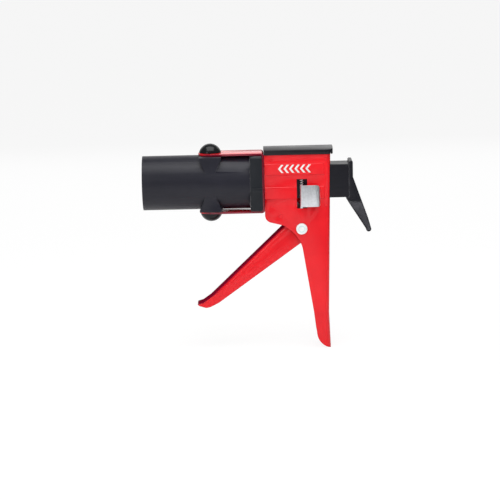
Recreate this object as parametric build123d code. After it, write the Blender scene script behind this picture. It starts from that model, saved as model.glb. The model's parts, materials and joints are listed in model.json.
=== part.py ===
from build123d import *
import math
import os

# A short caulking gun. X runs along the barrel, muzzle towards -X, +Z up, millimetres.
# The origin is where the barrel's axis meets the vertical axis the sleeve swings on.
# Outlines seen from the side are lists of (x, z) points.

# Clearances
running = 0.05
slack = 0.3
gap = 0.4
nose_gap = 0.6
ram_stop_gap = 1.0
seat_play = 0.08
countersink_depth = 1.0
slot_w = 0.6

# Cartridge sleeve
bore_r = 25.5
sleeve_wall = 1.5
muzzle_x = -67.4
sleeve_rear_x = 39.0
boss_top_w = 21.6
boss_foot_w = 7.0
boss_foot_z = 9.0
boss_shoulder_z = 25.0
boss_half_y = 24.6
seat_r = 11.0
lower_drop = 1.2

# Trunnions
knob_r = 11.0
knob_h = 9.0
shank_r = 5.0
spigot_r = 3.0
spigot_play = 0.02
washer_t = 0.3
arm_play = 0.1

# Yoke and its screws
arm_half_w = 15.8
arm_round_x = 4.0
sheet_t = 1.8
web_x = 51.2
yoke_bend_r = 2.5
yoke_screw_r = 2.0
yoke_screw_y = 9.0
yoke_screw_z = 20.5
yoke_screw_in = 3.5

# Collar behind the sleeve
collar_half = 27.0
collar_corner_r = 2.0
collar_rear_chamfer = 0.8
collar_rib_z = (-7.3, -4.2)
collar_rib_back = 1.5
collar_screw_r = 1.0
collar_screw_y = 7.0
collar_screw_z = 25.2
collar_screw_in = 2.6

# Ram and pusher
ram_half_w = 14.0
ram_half_h = 16.65
ram_rear_x = 137.0
ram_wall = 4.35
ram_side_wall = 2.8
ram_end_t = 5.0
ram_corner_r = 1.2
tooth_pitch = 4.0
tooth_depth = 2.0
tooth_half_w = 4.5
tooth_root_w = 0.8
tooth_gap_w = 3.2
first_tooth = 3.0
inner_wall = 2.5
inner_nose = 10.0
inner_corner_r = 1.0
inner_end_gap = 1.0
groove_half_w = 1.8
groove_depth = 1.0
groove_ends = 2.5
brake_r = 2.5
brake_tip_r = 1.5
brake_back = 8.0
pusher_r = 23.0
pusher_t = 3.0
pusher_rim = 0.8
pusher_screw_r = 2.5
pusher_head_r = 4.3
pusher_head_t = 1.4

# Pull handle
plate_t = 4.0
lip_z = 19.5
lip_r = 1.4
hook_half_w = 16.0
hook_step_z = -20.7
hook_front = (-3.1, -17.75)
hook_toe = ((16.2, -48.4), (18.6, -51.2), (21.2, -47.6))
hook_back = (18.2, -36.9)
hook_knee_z = 3.6
hook_wall = 3.0
hook_hollow_z = (-20.25, -42.0)
hook_hollow_x = (10.0, 17.6)
handle_screw_r = 2.0
handle_screw_z = 8.0
handle_screw_in = 4.5
handle_head_r = 3.5
handle_head_t = 2.2
handle_seat = 2.4
handle_socket_r = 1.3

# Housing and handle, one folded sheet
house_x = 53.2
house_rear_x = 119.0
house_top_z = 30.0
house_half_w = 17.0
house_wall = 1.5
spine_r = 5.0
house_chin = ((53.2, -33.0), (54.9, -37.4), (59.0, -39.9))
guard = ((70.3, -42.8), (83.5, -53.2), (89.8, -65.9))
grip_front = ((101.0, -137.0), (102.9, -153.2))
grip_toe = ((102.9, -153.2), (107.4, -163.2), (116.6, -168.0))
grip_back = (115.4, -131.7)
rib_proud = 0.6
band_rear_x = 112.5
bands_z = ((7.1, 18.6), (-16.8, -4.6))
slot_x = (85.1, 95.4)
slot_z = (-26.3, 3.0)

# Ram guides inside the housing
guide_low_z = -25.6
guide_top_drop = 4.2
front_guide_t = 8.8
rear_guide_x = (111.0, 115.6)
front_guide_chamfer = 0.5
rear_guide_chamfer = 3.4
guide_window = 5.0
guide_play = 0.1
rivet_r = 1.5
rivet_x = (60.0, 114.0)
rivet_z = (-23.6, 22.5)

# Cap
cap_x = (53.0, 121.4)
cap_half_w = 18.3
cap_rise = 4.0
cap_edge_t = 1.8
cap_corner_r = 6.0
cap_skirt = 2.6
cap_seat = 0.05
cap_tongue_h = 4.0
cap_tongue_t = 2.0

# Trigger
pivot_x = 89.3
pivot_z = -46.8
pivot_pin_r = 3.0
bush_wall = 1.5
bush_proud = 0.6
button_r = 5.6
button_t = 1.8
trigger_half_w = 11.0
trigger_wall = 1.5
trigger_fold_r = 4.2
trigger_front = ((-5.7, -117.6), (70.9, -45.7))
trigger_brow = (79.0, -37.0)
trigger_tip = ((-10.4, -120.9), (-16.0, -122.6), (-14.2, -124.0), (-7.4, -126.0), (-3.2, -125.1))
trigger_under = ((5.3, -120.9), (88.9, -61.6))
trigger_heel = ((98.0, -44.0), (97.0, -52.0))
lug_r = 4.4

# Ratchet
small_pin_r = 2.0
pawl_pin_angle = 80.0
pawl_pin_arm = 15.8
pawl_half_w = 3.5
stop_x = 69.0
stop_z = -34.0

# Release lever and its tab
lever_x = 103.0
lever_z = -24.0
hub_r = 4.0
hub_half_w = 4.0
nose_tooth = 13
arm_y = (-9.0, -5.0)
arm_drop = 5.7
stem_x = (88.3, 90.8)
stem_y = (-18.7, -14.4)
stem_low_z = -14.5
tab_y = -25.0
tab_z = (-23.7, -2.3)
tab_t = 2.0
tab_end_x = 107.8
tab_bend_r = 1.9
tab_curl_r = 5.0
tab_corner_r = (4.2, 1.5)
spacer_r = 3.2

# Springs
spring_wire_r = 0.8
spring_coil_r = pivot_pin_r + bush_wall + 1.3
spring_pitch = 2.0
spring_turns = 4 + 90 / 360
spring_turn = 30.0
spring_legs = (39.0, 21.0)
pawl_spring_wire_r = 0.4
pawl_spring_play = 0.5
pawl_spring_turns = 4
pawl_spring_y = 8.6
release_wire_r = 0.35
release_coil_r = 1.7
release_turns = 8

# Worked out from the above
sleeve_r = bore_r + sleeve_wall
upper_seat_z = sleeve_r
lower_seat_z = -sleeve_r - lower_drop
upper_arm_z = upper_seat_z + washer_t + arm_play
lower_arm_z = lower_seat_z - washer_t - arm_play
yoke_back_x = web_x + sheet_t
swing_r = math.hypot(sleeve_rear_x, sleeve_r) + seat_play
collar_x = sleeve_rear_x + seat_play
pusher_hole_r = pusher_r + slack + 0.2
cavity_half_w = ram_half_w - ram_side_wall
cavity_half_h = ram_half_h - ram_wall
inner_half_w = cavity_half_w - slack
inner_half_h = cavity_half_h - slack
ram_front_x = yoke_back_x + ram_stop_gap
brake_x = ram_front_x + brake_back
pusher_x = web_x - slack
pusher_face_x = pusher_x - pusher_t
house_in = house_half_w - house_wall
pawl_x = pivot_x + pawl_pin_arm * math.cos(math.radians(pawl_pin_angle))
pawl_z = pivot_z + pawl_pin_arm * math.sin(math.radians(pawl_pin_angle))

far = 200.0


def box(x, y, z):
    """A box from three (low, high) pairs."""
    size = (x[1] - x[0], y[1] - y[0], z[1] - z[0])
    centre = ((x[0] + x[1]) / 2, (y[0] + y[1]) / 2, (z[0] + z[1]) / 2)
    return Pos(*centre) * Box(*size)


def both(half):
    """The (low, high) pair that reaches the same way to both sides."""
    return (-half, half)


def rod(axis, radius, start, end, at=(0, 0)):
    """A cylinder along X, Y or Z from start to end; at is its place across, in axis order."""
    turn = {"X": Rot(0, 90, 0), "Y": Rot(-90, 0, 0), "Z": Rot(0, 0, 0)}[axis]
    middle = (start + end) / 2
    place = {
        "X": (middle, at[0], at[1]),
        "Y": (at[0], middle, at[1]),
        "Z": (at[0], at[1], middle),
    }[axis]
    return Pos(*place) * turn * Cylinder(radius, abs(end - start))


def side_face(outline, low_y, high_y):
    """A face drawn in the XZ plane, made solid between two places in Y."""
    body = extrude(outline, high_y - low_y)
    return Pos(0, low_y - body.bounding_box().min.Y, 0) * body


def side_plate(points, low_y, high_y):
    """An outline of straight sides, made solid between two places in Y."""
    return side_face(Plane.XZ * make_face(Polyline(*points, close=True)), low_y, high_y)


def side_wire(parts):
    """Lines and arcs given as tuples of two or three (x, z) points, closed into one face."""
    edges = [Line(*part) if len(part) == 2 else ThreePointArc(*part) for part in parts]
    return Plane.XZ * make_face(Wire(edges))


def on_line(first, second, z):
    """The x at a height z on the straight line through two (x, z) points."""
    share = (z - first[1]) / (second[1] - first[1])
    return first[0] + share * (second[0] - first[0])


def coil(radius, wire_r, turns, pitch):
    """A helical spring standing on Z = 0."""
    path = Helix(pitch, pitch * turns, radius)
    section = Plane(path @ 0, z_dir=path % 0) * Circle(wire_r)
    return sweep(section, path=path, is_frenet=True)


def save(node, shape):
    export_step(shape, f"parts/{node}.step")


def seat_height(side):
    """How far from the barrel's axis the boss's seat lies, above (side 1) or below (side -1)."""
    return upper_seat_z if side > 0 else -lower_seat_z


def saddle(side):
    """The boss on the sleeve's top or bottom, a funnel-shaped web and a round seat."""
    outline = [
        (-boss_foot_w / 2, side * boss_foot_z),
        (boss_foot_w / 2, side * boss_foot_z),
        (boss_top_w / 2, side * boss_shoulder_z),
        (boss_top_w / 2, side * sleeve_r),
        (-boss_top_w / 2, side * sleeve_r),
        (-boss_top_w / 2, side * boss_shoulder_z),
    ]
    web = side_plate(outline, -boss_half_y, boss_half_y)
    seat = rod("Z", seat_r, side * boss_foot_z, side * seat_height(side))
    return web + seat


def sleeve():
    body = rod("X", sleeve_r, muzzle_x, sleeve_rear_x) + saddle(1) + saddle(-1)
    body -= rod("X", bore_r, muzzle_x - 1, sleeve_rear_x + 1)
    body -= rod("Z", spigot_r, lower_seat_z - 1, upper_seat_z + 1)
    return body


def knob(side):
    """A domed knob with a shank through the yoke's arm and a spigot in the sleeve's boss."""
    seat_z = seat_height(side)
    face_z = seat_z + washer_t + arm_play + sheet_t + arm_play
    dome_r = (knob_r**2 + knob_h**2) / (2 * knob_h)
    dome = Pos(0, 0, face_z + knob_h - dome_r) * Sphere(dome_r)
    dome &= rod("Z", knob_r + 1, face_z, face_z + knob_h + 1)
    shank = rod("Z", shank_r, seat_z, face_z)
    spigot = rod("Z", spigot_r - spigot_play, bore_r + running * 2, seat_z)
    shape = dome + shank + spigot
    return shape if side > 0 else Rot(180, 0, 0) * shape


def washer(side):
    seat_z = seat_height(side)
    ring = rod("Z", seat_r - slack, seat_z, seat_z + washer_t)
    ring -= rod("Z", shank_r + running, seat_z - 1, seat_z + 1)
    return ring if side > 0 else Rot(180, 0, 0) * ring


def yoke_screw_places():
    return [(y, z) for y in both(yoke_screw_y) for z in both(yoke_screw_z)]


def collar_screw_places():
    return [(y, z) for y in both(collar_screw_y) for z in both(collar_screw_z)]


def yoke():
    """Two arms and the web between them, one bent sheet."""
    top = upper_arm_z + sheet_t
    bottom = lower_arm_z - sheet_t
    outer = box((0, yoke_back_x), both(arm_half_w), (bottom, top))
    outer = fillet(outer.edges().filter_by(Axis.Y).group_by(Axis.X)[-1], yoke_bend_r)
    inner = box((-1, web_x), both(arm_half_w + 1), (lower_arm_z, upper_arm_z))
    inner = fillet(inner.edges().filter_by(Axis.Y).group_by(Axis.X)[-1], yoke_bend_r - sheet_t)
    body = outer - inner
    for low, high in ((upper_arm_z, top), (bottom, lower_arm_z)):
        body += rod("Z", arm_half_w, low, high, (arm_round_x, 0))
    body -= rod("Z", shank_r + running, bottom - 1, top + 1)
    body -= box((web_x - 1, yoke_back_x + 1), both(inner_half_w + gap), both(inner_half_h + gap))
    for y, z in yoke_screw_places():
        body -= rod("X", yoke_screw_r + running, web_x - 1, yoke_back_x + 1, (y, z))
        body -= countersink(web_x, yoke_back_x, yoke_screw_r + running, y, z)
    for y, z in collar_screw_places():
        body -= rod("X", collar_screw_r + running, web_x - 1, yoke_back_x + 1, (y, z))
        body -= countersink(yoke_back_x, web_x, collar_screw_r + running, y, z)
    return body


def countersink(face_x, tip_x, hole_r, y, z):
    """A 90 degree countersink whose mouth lies at face_x and opens away from tip_x."""
    depth = countersink_depth
    turn = Rot(0, -90, 0) if face_x < tip_x else Rot(0, 90, 0)
    middle = face_x + math.copysign(depth / 2, tip_x - face_x)
    return Pos(middle, y, z) * turn * Cone(hole_r, hole_r + depth, depth)


def flat_screw(face_x, end_x, radius, y, z):
    """A countersunk screw along X, its head flush with face_x and a slot across it."""
    body = rod("X", radius, face_x, end_x, (y, z)) + countersink(face_x, end_x, radius, y, z)
    inward = math.copysign(slot_w, end_x - face_x)
    head_r = radius + countersink_depth
    slot = box(sorted((face_x, face_x + inward)), (y - head_r, y + head_r), (z - slot_w / 2, z + slot_w / 2))
    return body - slot


def yoke_screws():
    end_x = house_x + yoke_screw_in
    return [flat_screw(web_x, end_x, yoke_screw_r, y, z) for y, z in yoke_screw_places()]


def collar_screws():
    end_x = web_x - collar_screw_in
    return [flat_screw(yoke_back_x, end_x, collar_screw_r, y, z) for y, z in collar_screw_places()]


def collar():
    """The block the sleeve's rear end seats against, hollowed to the arc the sleeve swings on."""
    body = box((collar_x, web_x), both(collar_half), both(collar_half))
    body = fillet(body.edges().filter_by(Axis.X), collar_corner_r)
    rear = body.edges().filter_by(Axis.Y).group_by(Axis.X)[-1]
    body = chamfer(rear, collar_rear_chamfer)
    body -= rod("Z", swing_r, -collar_half - 1, collar_half + 1)
    body -= rod("X", pusher_hole_r, collar_x - 1, web_x + 1)
    for side in (-1, 1):
        y = sorted((side * (collar_half - 1), side * (collar_half + rib_proud)))
        body += box((collar_x + collar_rib_back, web_x), y, collar_rib_z)
    for y, z in collar_screw_places():
        low_x = web_x - collar_screw_in - running * 4
        body -= rod("X", collar_screw_r + running, low_x, web_x + 1, (y, z))
    return body


def tooth_x(number):
    """Where the steep side of a tooth gap lies, counted from the ram's front."""
    return ram_front_x + first_tooth + number * tooth_pitch


def rack_teeth():
    """Sawtooth gaps across the underside of the outer ram, steep on the side the pawls push."""
    root_z = -ram_half_h + tooth_depth
    under_z = -ram_half_h - 1
    count = int((ram_rear_x - ram_front_x - 2 * first_tooth) // tooth_pitch)
    cuts = []
    for number in range(count):
        x = tooth_x(number)
        far_x = x + tooth_gap_w
        root_x = x + tooth_root_w
        slope = [(x, under_z), (x, root_z), (root_x, root_z), (far_x, -ram_half_h), (far_x, under_z)]
        cuts.append(side_plate(slope, -tooth_half_w, tooth_half_w))
    return cuts


def ram_outer():
    """The outer stage of the ram, a thick tube with a closed rear end."""
    body = box((ram_front_x, ram_rear_x), both(ram_half_w), both(ram_half_h))
    body = fillet(body.edges().filter_by(Axis.X), ram_corner_r)
    body -= box((ram_front_x - 1, ram_rear_x - ram_end_t), both(cavity_half_w), both(cavity_half_h))
    for cut in rack_teeth():
        body -= cut
    body -= rod("Z", brake_r + running, cavity_half_h - 1, ram_half_h + 1, (brake_x, 0))
    for z in both(handle_screw_z):
        body -= rod("X", handle_screw_r + running, ram_rear_x - ram_end_t - 1, ram_rear_x + 1, (0, z))
    return body


def ram_inner():
    """The second stage, a box section with a solid nose for the pusher's screw."""
    front = web_x - guide_play
    rear = ram_rear_x - ram_end_t - inner_end_gap
    body = box((front, rear), both(inner_half_w), both(inner_half_h))
    body = fillet(body.edges().filter_by(Axis.X), inner_corner_r)
    hollow_w = inner_half_w - inner_wall
    hollow_h = inner_half_h - inner_wall
    body -= box((front + inner_nose, rear + 1), both(hollow_w), both(hollow_h))
    groove_z = (inner_half_h - groove_depth, inner_half_h + 1)
    body -= box((front + groove_ends, rear - groove_ends), both(groove_half_w), groove_z)
    body -= rod("X", pusher_screw_r + running, front - 1, front + inner_nose + 1)
    return body


def brake_plunger():
    """A spring plunger whose tip rides in the inner ram's groove."""
    place = (brake_x, 0)
    tip_z = inner_half_h - groove_depth + running * 4
    shoulder_z = cavity_half_h + guide_play
    body = rod("Z", brake_r, shoulder_z, ram_half_h - running * 4, place)
    return body + rod("Z", brake_tip_r, tip_z, shoulder_z, place)


def pusher_disc():
    body = rod("X", pusher_r, pusher_face_x, pusher_x)
    body = chamfer(body.edges().filter_by(GeomType.CIRCLE).group_by(Axis.X)[0], pusher_rim)
    body -= rod("X", pusher_screw_r + running, pusher_face_x - 1, pusher_x + 1)
    return body - rod("X", pusher_head_r + slack, pusher_face_x - 1, pusher_face_x + pusher_head_t + 0.2)


def pusher_screw():
    head_x = pusher_face_x + 0.2
    under_x = head_x + pusher_head_t
    head = rod("X", pusher_head_r, head_x, under_x)
    head -= box((head_x - 1, head_x + 0.8), both(pusher_head_r + 1), both(slot_w))
    return head + rod("X", pusher_screw_r, under_x, web_x + inner_nose - 0.5)


def hook_face():
    """The pull handle from the side: a flat plate, then a finger hook raked backwards."""
    x = ram_rear_x
    plate_x = x + plate_t
    front = (x + hook_front[0], hook_front[1])
    heel = (front[0], -ram_half_h - guide_play)
    toe = [(x + dx, z) for dx, z in hook_toe]
    back = (x + hook_back[0], hook_back[1])
    knee = (plate_x, hook_knee_z)
    return side_wire([
        ((x, lip_z), (x, heel[1])),
        ((x, heel[1]), heel),
        (heel, front),
        (front, toe[0]),
        tuple(toe),
        (toe[2], back),
        (back, knee),
        (knee, (plate_x, lip_z)),
        ((plate_x, lip_z), (x, lip_z)),
    ])


def pull_handle():
    body = side_face(hook_face(), -hook_half_w, hook_half_w)
    for side in (-1, 1):
        y = sorted((side * ram_half_w, side * (hook_half_w + 1)))
        body -= box((ram_rear_x - far, ram_rear_x + far), y, (hook_step_z, lip_z + 1))
    hollow = [
        (ram_rear_x - far, hook_hollow_z[0]),
        (ram_rear_x + hook_hollow_x[0], hook_hollow_z[0]),
        (ram_rear_x + hook_hollow_x[1], hook_hollow_z[1]),
        (ram_rear_x - far, hook_hollow_z[1]),
    ]
    body -= side_plate(hollow, -hook_half_w + hook_wall, hook_half_w - hook_wall)
    body = fillet(body.edges().filter_by(Axis.Y).group_by(Axis.Z)[-1], lip_r)
    seat_x = ram_rear_x + plate_t - handle_seat
    for z in both(handle_screw_z):
        body -= rod("X", handle_screw_r + running, ram_rear_x - 1, seat_x + 1, (0, z))
        body -= rod("X", handle_head_r + slack, seat_x, ram_rear_x + far, (0, z))
    return body


def pull_handle_screws():
    """Two cap screws whose heads lie in the plate, with round driver sockets."""
    seat_x = ram_rear_x + plate_t - handle_seat
    screws = []
    for z in both(handle_screw_z):
        head = rod("X", handle_head_r, seat_x, seat_x + handle_head_t, (0, z))
        head -= rod("X", handle_socket_r, seat_x + handle_head_t / 2, seat_x + handle_head_t + 1, (0, z))
        screws.append(head + rod("X", handle_screw_r, ram_rear_x - handle_screw_in, seat_x, (0, z)))
    return screws


def house_face():
    """Side of the housing and handle, from the top front corner down and round."""
    top_front = (house_x, house_top_z)
    top_rear = (house_rear_x, house_top_z)
    return side_wire([
        (top_front, house_chin[0]),
        house_chin,
        (house_chin[2], guard[0]),
        guard,
        (guard[2], grip_front[0]),
        grip_front,
        grip_toe,
        (grip_toe[2], grip_back),
        (grip_back, top_rear),
        (top_rear, top_front),
    ])


def spine_void():
    """What is taken out of the solid outline to leave two sides and the rounded rear fold."""
    top_z = house_top_z * 2
    low_z = grip_toe[2][1] - spine_r
    rear_top_x = on_line(grip_back, (house_rear_x, house_top_z), top_z)
    rear_low_x = on_line(grip_back, grip_toe[2], low_z)
    points = [
        (house_x - spine_r, top_z),
        (rear_top_x - house_wall, top_z),
        (grip_back[0] - house_wall, grip_back[1]),
        (rear_low_x - house_wall, low_z),
        (house_x - spine_r, low_z),
    ]
    void = side_plate(points, -house_in, house_in)
    return fillet(rear_spine_edges(void, house_in), spine_r - house_wall)


def rear_spine_edges(body, half_w):
    """The edges that run up the rear spine, on both sides."""
    tall = body.edges().filter_by(lambda e: e.bounding_box().size.Z > 20)
    rear = tall.filter_by(lambda e: e.center().X > grip_back[0] - 3)
    return rear.filter_by(lambda e: abs(abs(e.center().Y) - half_w) < 0.01)


def housing():
    body = side_face(house_face(), -house_half_w, house_half_w)
    body = fillet(rear_spine_edges(body, house_half_w), spine_r)
    for z in bands_z:
        for side in (-1, 1):
            y = sorted((side * (house_half_w - 1), side * (house_half_w + rib_proud)))
            band = box((house_x, band_rear_x), y, z)
            outer = band.faces().sort_by(Axis.Y)[-1 if side > 0 else 0]
            body += chamfer(outer.edges(), rib_proud * 0.9)
    body -= spine_void()
    mouth_x = (house_rear_x - 3 * spine_r, house_rear_x + spine_r)
    body -= box(mouth_x, both(ram_half_w + gap), both(ram_half_h + gap))
    body -= box(slot_x, (-house_half_w - 2, -house_in + 0.5), slot_z)
    for x, z, radius in side_pin_places():
        body -= rod("Y", radius + running, -house_half_w - 2, house_half_w + 2, (x, z))
    return body


def rivet_places():
    return [(x, z) for x in rivet_x for z in rivet_z]


def side_pin_places():
    """Every pin or rivet that crosses the housing from side to side: x, z, radius."""
    places = [(x, z, rivet_r) for x, z in rivet_places()]
    places.append((pivot_x, pivot_z, pivot_pin_r))
    places.append((lever_x, lever_z, small_pin_r))
    places.append((stop_x, stop_z, small_pin_r))
    return places


def cross_pin(x, z, radius):
    return rod("Y", radius, -house_half_w, house_half_w, (x, z))


def ram_guide(x, rear_chamfer):
    """A plastic liner that fills the housing round the ram, with a window below for a pawl."""
    through = (x[0] - 1, x[1] + 1)
    body = box(x, both(house_in - guide_play), (guide_low_z, house_top_z - guide_top_drop))
    rear = body.edges().filter_by(Axis.Z).group_by(Axis.X)[-1]
    body = chamfer(rear, rear_chamfer)
    body -= box(through, both(guide_window), (guide_low_z - 1, -ram_half_h))
    body -= box(through, both(ram_half_w + guide_play), both(ram_half_h + guide_play))
    for place in rivet_places():
        body -= rod("Y", rivet_r + running, -house_half_w, house_half_w, place)
    for place in yoke_screw_places():
        body -= rod("X", yoke_screw_r + running, house_x - 1, house_x + yoke_screw_in + slack, place)
    return body


def cap_crown():
    """The cap's top, arched from side to side."""
    low = house_top_z + cap_seat
    edge_z = low + cap_edge_t
    edge = [
        Line((-cap_half_w, low), (cap_half_w, low)),
        Line((cap_half_w, low), (cap_half_w, edge_z)),
        ThreePointArc((cap_half_w, edge_z), (0, low + cap_rise), (-cap_half_w, edge_z)),
        Line((-cap_half_w, edge_z), (-cap_half_w, low)),
    ]
    section = Plane(origin=(cap_x[0], 0, 0), x_dir=(0, 1, 0), z_dir=(1, 0, 0)) * make_face(Wire(edge))
    return extrude(section, cap_x[1] - cap_x[0])


def top_cap():
    """The plastic cap that closes the housing's top, with a skirt outside and a tongue inside."""
    low = house_top_z + cap_seat
    skirt = box(cap_x, both(cap_half_w), (house_top_z - cap_skirt, low))
    body = cap_crown() + skirt
    corners = body.edges().filter_by(Axis.Z).group_by(Axis.X)[-1]
    body = fillet(corners, cap_corner_r)
    over = (cap_x[0] - 1, house_rear_x + slack)
    body -= box(over, both(house_half_w + slack / 2), (house_top_z - cap_skirt - 1, low))
    tongue_x = (house_x + cap_tongue_t, house_rear_x - cap_tongue_t * 2)
    tongue_y = house_in - slack
    tongue = box(tongue_x, both(tongue_y), (house_top_z - cap_tongue_h, low + running))
    hollow_x = (tongue_x[0] + cap_tongue_t, tongue_x[1] - cap_tongue_t)
    tongue -= box(hollow_x, both(tongue_y - cap_tongue_t), (house_top_z - cap_tongue_h - 1, low))
    return body + tongue


def trigger_face():
    """The trigger from the side, from the foot of its front fold up and round."""
    lug_top = pawl_z + lug_r - 0.6
    points = [
        *trigger_front,
        trigger_brow,
        (pawl_x - lug_r, pawl_z),
        (pawl_x - lug_r / 2, lug_top),
        (pawl_x + lug_r / 2, lug_top),
        (pawl_x + lug_r, pawl_z),
        *trigger_heel,
        *reversed(trigger_under),
        *reversed(trigger_tip),
    ]
    return Plane.XZ * make_face(Polyline(*points, close=True))


def front_fold_edges(body):
    """The two long edges where the front of the grip turns into the cheeks."""
    long_edges = body.edges().filter_by(lambda e: e.length > 60)
    foot, top = trigger_front
    return long_edges.filter_by(lambda e: e.center().X < on_line(foot, top, e.center().Z) + 3)


def trigger_channel():
    """What is taken out of the trigger to leave its cheeks and its front fold one wall thick."""
    foot, top = trigger_front
    length = math.dist(foot, top)
    step_x = trigger_wall * (top[1] - foot[1]) / length
    step_z = trigger_wall * (top[0] - foot[0]) / length
    open_z = pawl_z + 2 * lug_r
    points = [
        (foot[0] + step_x, foot[1] - step_z),
        (top[0] + step_x, top[1] - step_z),
        (top[0] + 2 * trigger_wall, open_z),
        (far, open_z),
        (far, trigger_under[1][1]),
        (trigger_under[0][0], -far),
        (foot[0], trigger_tip[3][1]),
        (foot[0] + step_x, trigger_tip[2][1] + trigger_wall),
    ]
    half_w = trigger_half_w - trigger_wall
    body = side_plate(points, -half_w, half_w)
    return fillet(front_fold_edges(body), trigger_fold_r - trigger_wall)


def trigger():
    """A channel: two cheeks and the front fold between them, with lugs for the drive pawl on top."""
    body = side_face(trigger_face(), -trigger_half_w, trigger_half_w)
    body = fillet(front_fold_edges(body), trigger_fold_r) - trigger_channel()
    body -= rod("Y", pivot_pin_r + bush_wall + running, *both(house_half_w), (pivot_x, pivot_z))
    body -= rod("Y", small_pin_r, *both(house_half_w), (pawl_x, pawl_z))
    return body


def trigger_bush():
    ends = trigger_half_w + bush_proud
    place = (pivot_x, pivot_z)
    body = rod("Y", pivot_pin_r + bush_wall, -ends, ends, place)
    return body - rod("Y", pivot_pin_r + running, -ends - 1, ends + 1, place)


def pivot_caps():
    """The press-on button heads that close each end of the trigger's pivot pin."""
    caps = []
    for side in (-1, 1):
        start = side * (house_half_w + running)
        button = rod("Y", button_r, start, start + side * button_t, (pivot_x, pivot_z))
        outer = button.faces().sort_by(Axis.Y)[-1 if side > 0 else 0]
        caps.append(chamfer(outer.edges(), button_t / 3))
    return caps


def trigger_spring():
    """A torsion spring round the trigger's bush, its legs against the trigger's fold and the spine."""
    coil_path = Helix(spring_pitch, spring_pitch * spring_turns, spring_coil_r)
    start = coil_path @ 0
    end = coil_path @ 1
    spine_leg = Line(start - (coil_path % 0) * spring_legs[0], start)
    fold_leg = Line(end, end + (coil_path % 1) * spring_legs[1])
    path = Wire([spine_leg, coil_path, fold_leg])
    section = Plane(path @ 0, z_dir=path % 0) * Circle(spring_wire_r)
    body = sweep(section, path=path)
    half = spring_pitch * spring_turns / 2
    return Pos(pivot_x, half, pivot_z) * Rot(0, -spring_turn, 0) * Rot(90, 0, 0) * body


def drive_pawl():
    """The pawl that pushes the ram's teeth, pinned between the trigger's lugs."""
    top = -ram_half_h - nose_gap
    outline = [
        (pawl_x + 3.4, pawl_z - 2.0),
        (pawl_x + 3.4, pawl_z + 2.4),
        (pawl_x - 2.0, pawl_z + 4.0),
        (pawl_x - 8.5, top - 1.6),
        (pawl_x - 11.2, top),
        (pawl_x - 12.4, top),
        (pawl_x - 12.4, top - 3.0),
        (pawl_x - 4.0, pawl_z - 3.0),
    ]
    body = side_plate(outline, -pawl_half_w, pawl_half_w)
    return body - rod("Y", small_pin_r + running, *both(trigger_half_w), (pawl_x, pawl_z))


def drive_pawl_pin():
    return rod("Y", small_pin_r, -trigger_half_w, trigger_half_w, (pawl_x, pawl_z))


def drive_pawl_spring():
    wire_r = pawl_spring_wire_r
    body = coil(small_pin_r + pawl_spring_play + wire_r, wire_r, pawl_spring_turns, 1.0)
    return Pos(pawl_x, pawl_spring_y, pawl_z) * Rot(90, 0, 0) * body


def release_lever():
    """The holding pawl and its release tab: one rocker on a cross pin."""
    hub = rod("Y", hub_r, arm_y[0], hub_half_w, (lever_x, lever_z))
    pawl = side_plate(holding_nose(tooth_x(nose_tooth)), -hub_half_w, hub_half_w)
    arm_z = (slot_z[0] + gap, -ram_half_h - arm_drop)
    arm = box((stem_x[0], lever_x), arm_y, arm_z)
    across = box(stem_x, (stem_y[1], arm_y[1]), arm_z)
    through = box(stem_x, stem_y, (arm_z[0], stem_low_z))
    body = hub + pawl + arm + across + through + tab()
    return body - rod("Y", small_pin_r + running, arm_y[0] - 1, far, (lever_x, lever_z))


def tab():
    """The bent tab: a stem out of the slot, a face along the housing and an end that curls back."""
    outer_y = tab_y - tab_t / 2
    turn_x = tab_end_x - tab_curl_r
    stem = box(stem_x, (outer_y, stem_y[0]), tab_z)
    face = box((stem_x[0], turn_x), (outer_y, outer_y + tab_t), tab_z)
    bend = (stem + face).edges().filter_by(Axis.Z).group_by(Axis.Y)[0].group_by(Axis.X)[0]
    bent = fillet(bend, tab_bend_r)
    curl_at = (turn_x, outer_y + tab_curl_r)
    tall = (tab_z[0] - 1, tab_z[1] + 1)
    curl = rod("Z", tab_curl_r, *tab_z, curl_at)
    curl -= rod("Z", tab_curl_r - tab_t, *tall, curl_at)
    curl &= box((turn_x, tab_end_x + 1), (outer_y - 1, outer_y + tab_curl_r), tall)
    frame = box((stem_x[0], tab_end_x), (outer_y - 1, stem_y[0] + 1), tab_z)
    rear = frame.edges().filter_by(Axis.Y).group_by(Axis.X)[-1].sort_by(Axis.Z)
    frame = fillet(rear[-1], tab_corner_r[0])
    rear = frame.edges().filter_by(Axis.Y).group_by(Axis.Z)[0].sort_by(Axis.X)
    frame = fillet(rear[-1], tab_corner_r[1])
    return (bent + curl) & frame


def holding_nose(x):
    """The holding pawl's outline, from the hub out to the nose that sits in a tooth gap."""
    top = -ram_half_h + tooth_depth - gap
    return [
        (lever_x - 3.0, lever_z - 2.6),
        (lever_x - 3.0, lever_z + 2.6),
        (x + 0.2, -ram_half_h - 0.9),
        (x + 0.2, top),
        (x + 0.7, top),
        (x + 2.4, -ram_half_h - 0.6),
        (x + 2.4, -ram_half_h - 4.0),
        (lever_x + 3.0, lever_z - 3.0),
    ]


def release_spring():
    """The compression spring in the slot above the lever's arm."""
    low = stem_low_z + release_wire_r + running
    high = slot_z[1] - release_wire_r - running
    body = coil(release_coil_r, release_wire_r, release_turns, (high - low) / release_turns)
    return Pos(sum(stem_x) / 2 + slack, -house_half_w + rib_proud, low) * body


def lever_spacer():
    """A tube that keeps the release lever central on its pin."""
    place = (lever_x, lever_z)
    body = rod("Y", spacer_r, hub_half_w + running * 4, house_in - guide_play, place)
    return body - rod("Y", small_pin_r + running, *both(far), place)


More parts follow.
